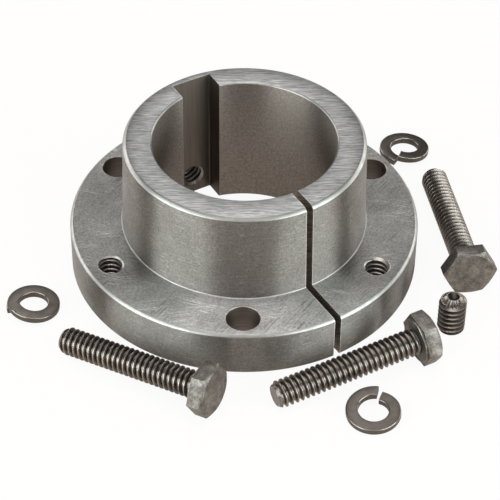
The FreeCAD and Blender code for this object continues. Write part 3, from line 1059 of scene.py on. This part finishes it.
# The set screw
def knurled_point(sizes):
    """The cup point: a cone with teeth round it and a cup drilled in its end."""
    crest = sizes.thread_diameter / 2
    rim = sizes.set_point / 2
    top = sizes.set_length
    shoulder = top - (crest - rim)
    half_way = (crest + rim) / 2
    inside = sizes.root_diameter / 2 - 0.1 * MM
    profile = [
        (0, shoulder - MM), (inside, shoulder - MM), (crest - 0.35 * MM, shoulder),
        (half_way - 0.1 * MM, (shoulder + top) / 2 + 0.1 * MM), (rim, top),
        (sizes.set_cup / 2, top), (0, top - sizes.set_cup_depth),
    ]
    point = lathe("knurled_point", profile, 2 * sizes.knurls)
    edit(point)
    slot_angle = math.pi / sizes.knurls

    def is_gap(vertex):
        radius = math.hypot(vertex.co.x, vertex.co.y)
        index = round(math.atan2(vertex.co.y, vertex.co.x) / slot_angle)
        return vertex.co.z > shoulder - FINE and radius > sizes.set_cup / 2 + FINE and index % 2 == 1

    choose(point, "VERT", is_gap)
    drawn_in = 0.84
    bpy.ops.transform.resize(value=(drawn_in, drawn_in, 1), center_override=(0, 0, top))
    done()
    return point


def set_screw(sizes, material, cup_shade_material):
    """A socket set screw on its socket end, with its cup point up."""
    crest = sizes.thread_diameter / 2
    root = sizes.root_diameter / 2
    top = sizes.set_length
    shoulder = top - (crest - sizes.set_point / 2)
    step = 0.4 * MM
    rod = threaded_rod("socket_set_screw", crest, root, -MM, shoulder + step, sizes.pitch)
    foot = crest - sizes.set_foot_chamfer
    wide = crest + 0.5 * MM
    profile = [
        (0, 0), (foot, 0), (wide, wide - foot), (wide, shoulder - 0.5 * MM), (crest - step, shoulder + step),
        (0, shoulder + step),
    ]
    carve(rod, lathe("set_turning", profile, HOLE_STEPS), "INTERSECT")
    carve(rod, knurled_point(sizes), "UNION")
    only(None)
    bpy.ops.mesh.primitive_cylinder_add(
        vertices=6, radius=sizes.set_socket / 2 / HEXAGON, depth=2 * sizes.set_socket_depth)
    key = bpy.context.object
    edit(key)
    choose(key, "FACE", lambda f: f.normal.z > 0.9)
    bpy.ops.mesh.inset(thickness=0.2 * MM, depth=0.1 * MM)
    done()
    carve(rod, key)

    def in_cup(face):
        radius = math.hypot(face.center.x, face.center.y)
        return face.center.z > top - sizes.set_cup_depth and radius < sizes.set_cup / 2 - FINE

    # The faces in the cup take the nearly black painted shade
    dress(rod, [material, cup_shade_material], in_cup)
    return rod


class BUSHING_OT_make_set_screw(bpy.types.Operator):
    """Model the socket set screw and stand it on the floor"""
    bl_idname = "bushing.make_set_screw"
    bl_label = "Make the set screw"

    def execute(self, context):
        choice = context.scene.bushing_set
        finish = choice.finishes
        screw = set_screw(choice.hardware, alloy_set_screw_steel(finish), cup_shade_steel(finish))
        settle(screw, Matrix.Translation(beside_flange(choice, *SET_SCREW_PLACE)))
        hand_in(screw, "set_screw")
        return {"FINISHED"}


# The stage
def floor_material(settings):
    """White paper that keeps a faint shadow and shows white in the steel."""
    material, tree, output, _place = new_material("white_paper_floor")
    paper = add(tree, "ShaderNodeBsdfDiffuse", {"Color": (*settings.floor_colour, 1)})
    glow = add(tree, "ShaderNodeEmission", {"Color": (1, 1, 1, 1), "Strength": 1.0})
    path = add(tree, "ShaderNodeLightPath")
    shown = times(tree, path.outputs["Is Camera Ray"], settings.floor_glow)
    mirrored = times(tree, path.outputs["Is Glossy Ray"], settings.floor_mirror)
    share = add(tree, "ShaderNodeMath", {"operation": "ADD", "use_clamp": True}, {0: shown, 1: mirrored})
    both = add(
        tree, "ShaderNodeMixShader", None, {0: share.outputs[0], 1: paper.outputs[0], 2: glow.outputs[0]})
    tree.links.new(both.outputs[0], output.inputs["Surface"])
    return material


def towards(around, up_angle):
    """The direction in which a spot is seen from the bushing."""
    return Vector((
        math.sin(around) * math.cos(up_angle), -math.cos(around) * math.cos(up_angle), math.sin(up_angle)))


def world_light(settings):
    world = bpy.data.worlds.new("studio")
    world.use_nodes = True
    tree = world.node_tree
    tree.nodes.clear()
    background = add(
        tree, "ShaderNodeBackground",
        {"Color": (*settings.world_colour, 1), "Strength": settings.world_strength})
    add(tree, "ShaderNodeOutputWorld", None, {"Surface": background.outputs[0]})
    bpy.context.scene.world = world


def soft_box(settings, name, side, height, wide, tall, brightness, tint):
    """A flat lamp seen from the bushing at an azimuth from the camera and a height, both in degrees."""
    data = bpy.data.lights.new(name, "AREA")
    data.shape = "RECTANGLE"
    data.size = wide
    data.size_y = tall
    data.energy = brightness * math.pi * wide * tall
    data.color = linear(tint)
    thing = bpy.data.objects.new(name, data)
    bpy.context.scene.collection.objects.link(thing)
    aim = towards(settings.azimuth + math.radians(side), math.radians(height))
    thing.location = aim * BOX_DISTANCE
    thing.rotation_euler = aim.to_track_quat("Z", "Y").to_euler()


BOX_DISTANCE = 0.7

# Name, azimuth from the camera, height, width of the lamp, height of the lamp, brightness and tint
SOFT_BOXES = (
    ("left_box", -54, 22, 0.66, 0.46, 4.6, "#F0FAFA"),
    ("right_box", 56, 22, 0.68, 0.46, 4.6, "#F0FAFA"),
    ("back_left_box", -120, 14, 0.56, 0.26, 2.8, "#F6FBFC"),
    ("back_right_box", 120, 14, 0.56, 0.26, 2.8, "#F6FBFC"),
    ("high_back_box", 180, 55, 0.3, 0.34, 2.5, "#FFFFFF"),
    ("top_box", 0, 88, 0.42, 0.42, 3.4, "#FFFFFF"),
    ("front_box", 0, 49, 0.5, 0.14, 1.9, "#FFFFFF"),
)


def camera(settings):
    """The camera at the photograph's place, height and framing."""
    around = settings.azimuth
    back = towards(around, settings.elevation)
    right = Vector((math.cos(around), math.sin(around), 0))
    above = back.cross(right)
    roll = settings.roll
    across = right * math.cos(roll) + above * math.sin(roll)
    upward = above * math.cos(roll) - right * math.sin(roll)
    data = bpy.data.cameras.new("camera")
    data.sensor_width = 36
    data.lens = settings.lens
    data.shift_x = settings.shift_x
    data.shift_y = settings.shift_y
    data.clip_start = 0.01
    thing = bpy.data.objects.new("camera", data)
    bpy.context.scene.collection.objects.link(thing)
    turn = Matrix((across, upward, back)).transposed().to_4x4()
    thing.matrix_world = Matrix.Translation(back * settings.distance) @ turn
    bpy.context.scene.camera = thing


class BUSHING_OT_set_stage(bpy.types.Operator):
    """Lay the floor and set the lamps and the camera"""
    bl_idname = "bushing.set_stage"
    bl_label = "Set the stage"

    def execute(self, context):
        settings = context.scene.bushing_set.stage
        only(None)
        bpy.ops.mesh.primitive_plane_add(size=8, location=(0, 0, 0))
        floor = bpy.context.object
        floor.name = "floor"
        dress(floor, [floor_material(settings)])
        world_light(settings)
        for box in SOFT_BOXES:
            soft_box(settings, *box)
        camera(settings)
        context.scene.view_settings.view_transform = "Standard"
        return {"FINISHED"}


class BUSHING_PT_workshop(bpy.types.Panel):
    """The steps in order"""
    bl_label = "Quick disconnect bushing"
    bl_idname = "BUSHING_PT_workshop"
    bl_space_type = "VIEW_3D"
    bl_region_type = "UI"
    bl_category = "Bushing"

    def draw(self, context):
        for step in STEPS:
            self.layout.operator(step.bl_idname)


STEPS = (
    BUSHING_OT_turn_bushing,
    BUSHING_OT_make_cap_screws,
    BUSHING_OT_make_lock_washers,
    BUSHING_OT_make_set_screw,
    BUSHING_OT_set_stage,
)
CLASSES = (BushingSizes, HardwareSizes, Finishes, StageSettings, BushingSet, *STEPS, BUSHING_PT_workshop)


def register():
    for one in CLASSES:
        bpy.utils.register_class(one)
    bpy.types.Scene.bushing_set = PointerProperty(type=BushingSet)


def unregister():
    del bpy.types.Scene.bushing_set
    for one in reversed(CLASSES):
        bpy.utils.unregister_class(one)


def main():
    register()
    bpy.ops.bushing.turn_bushing()
    bpy.ops.bushing.make_cap_screws()
    bpy.ops.bushing.make_lock_washers()
    bpy.ops.bushing.make_set_screw()
    bpy.ops.bushing.set_stage()


if __name__ == "__main__":
    main()
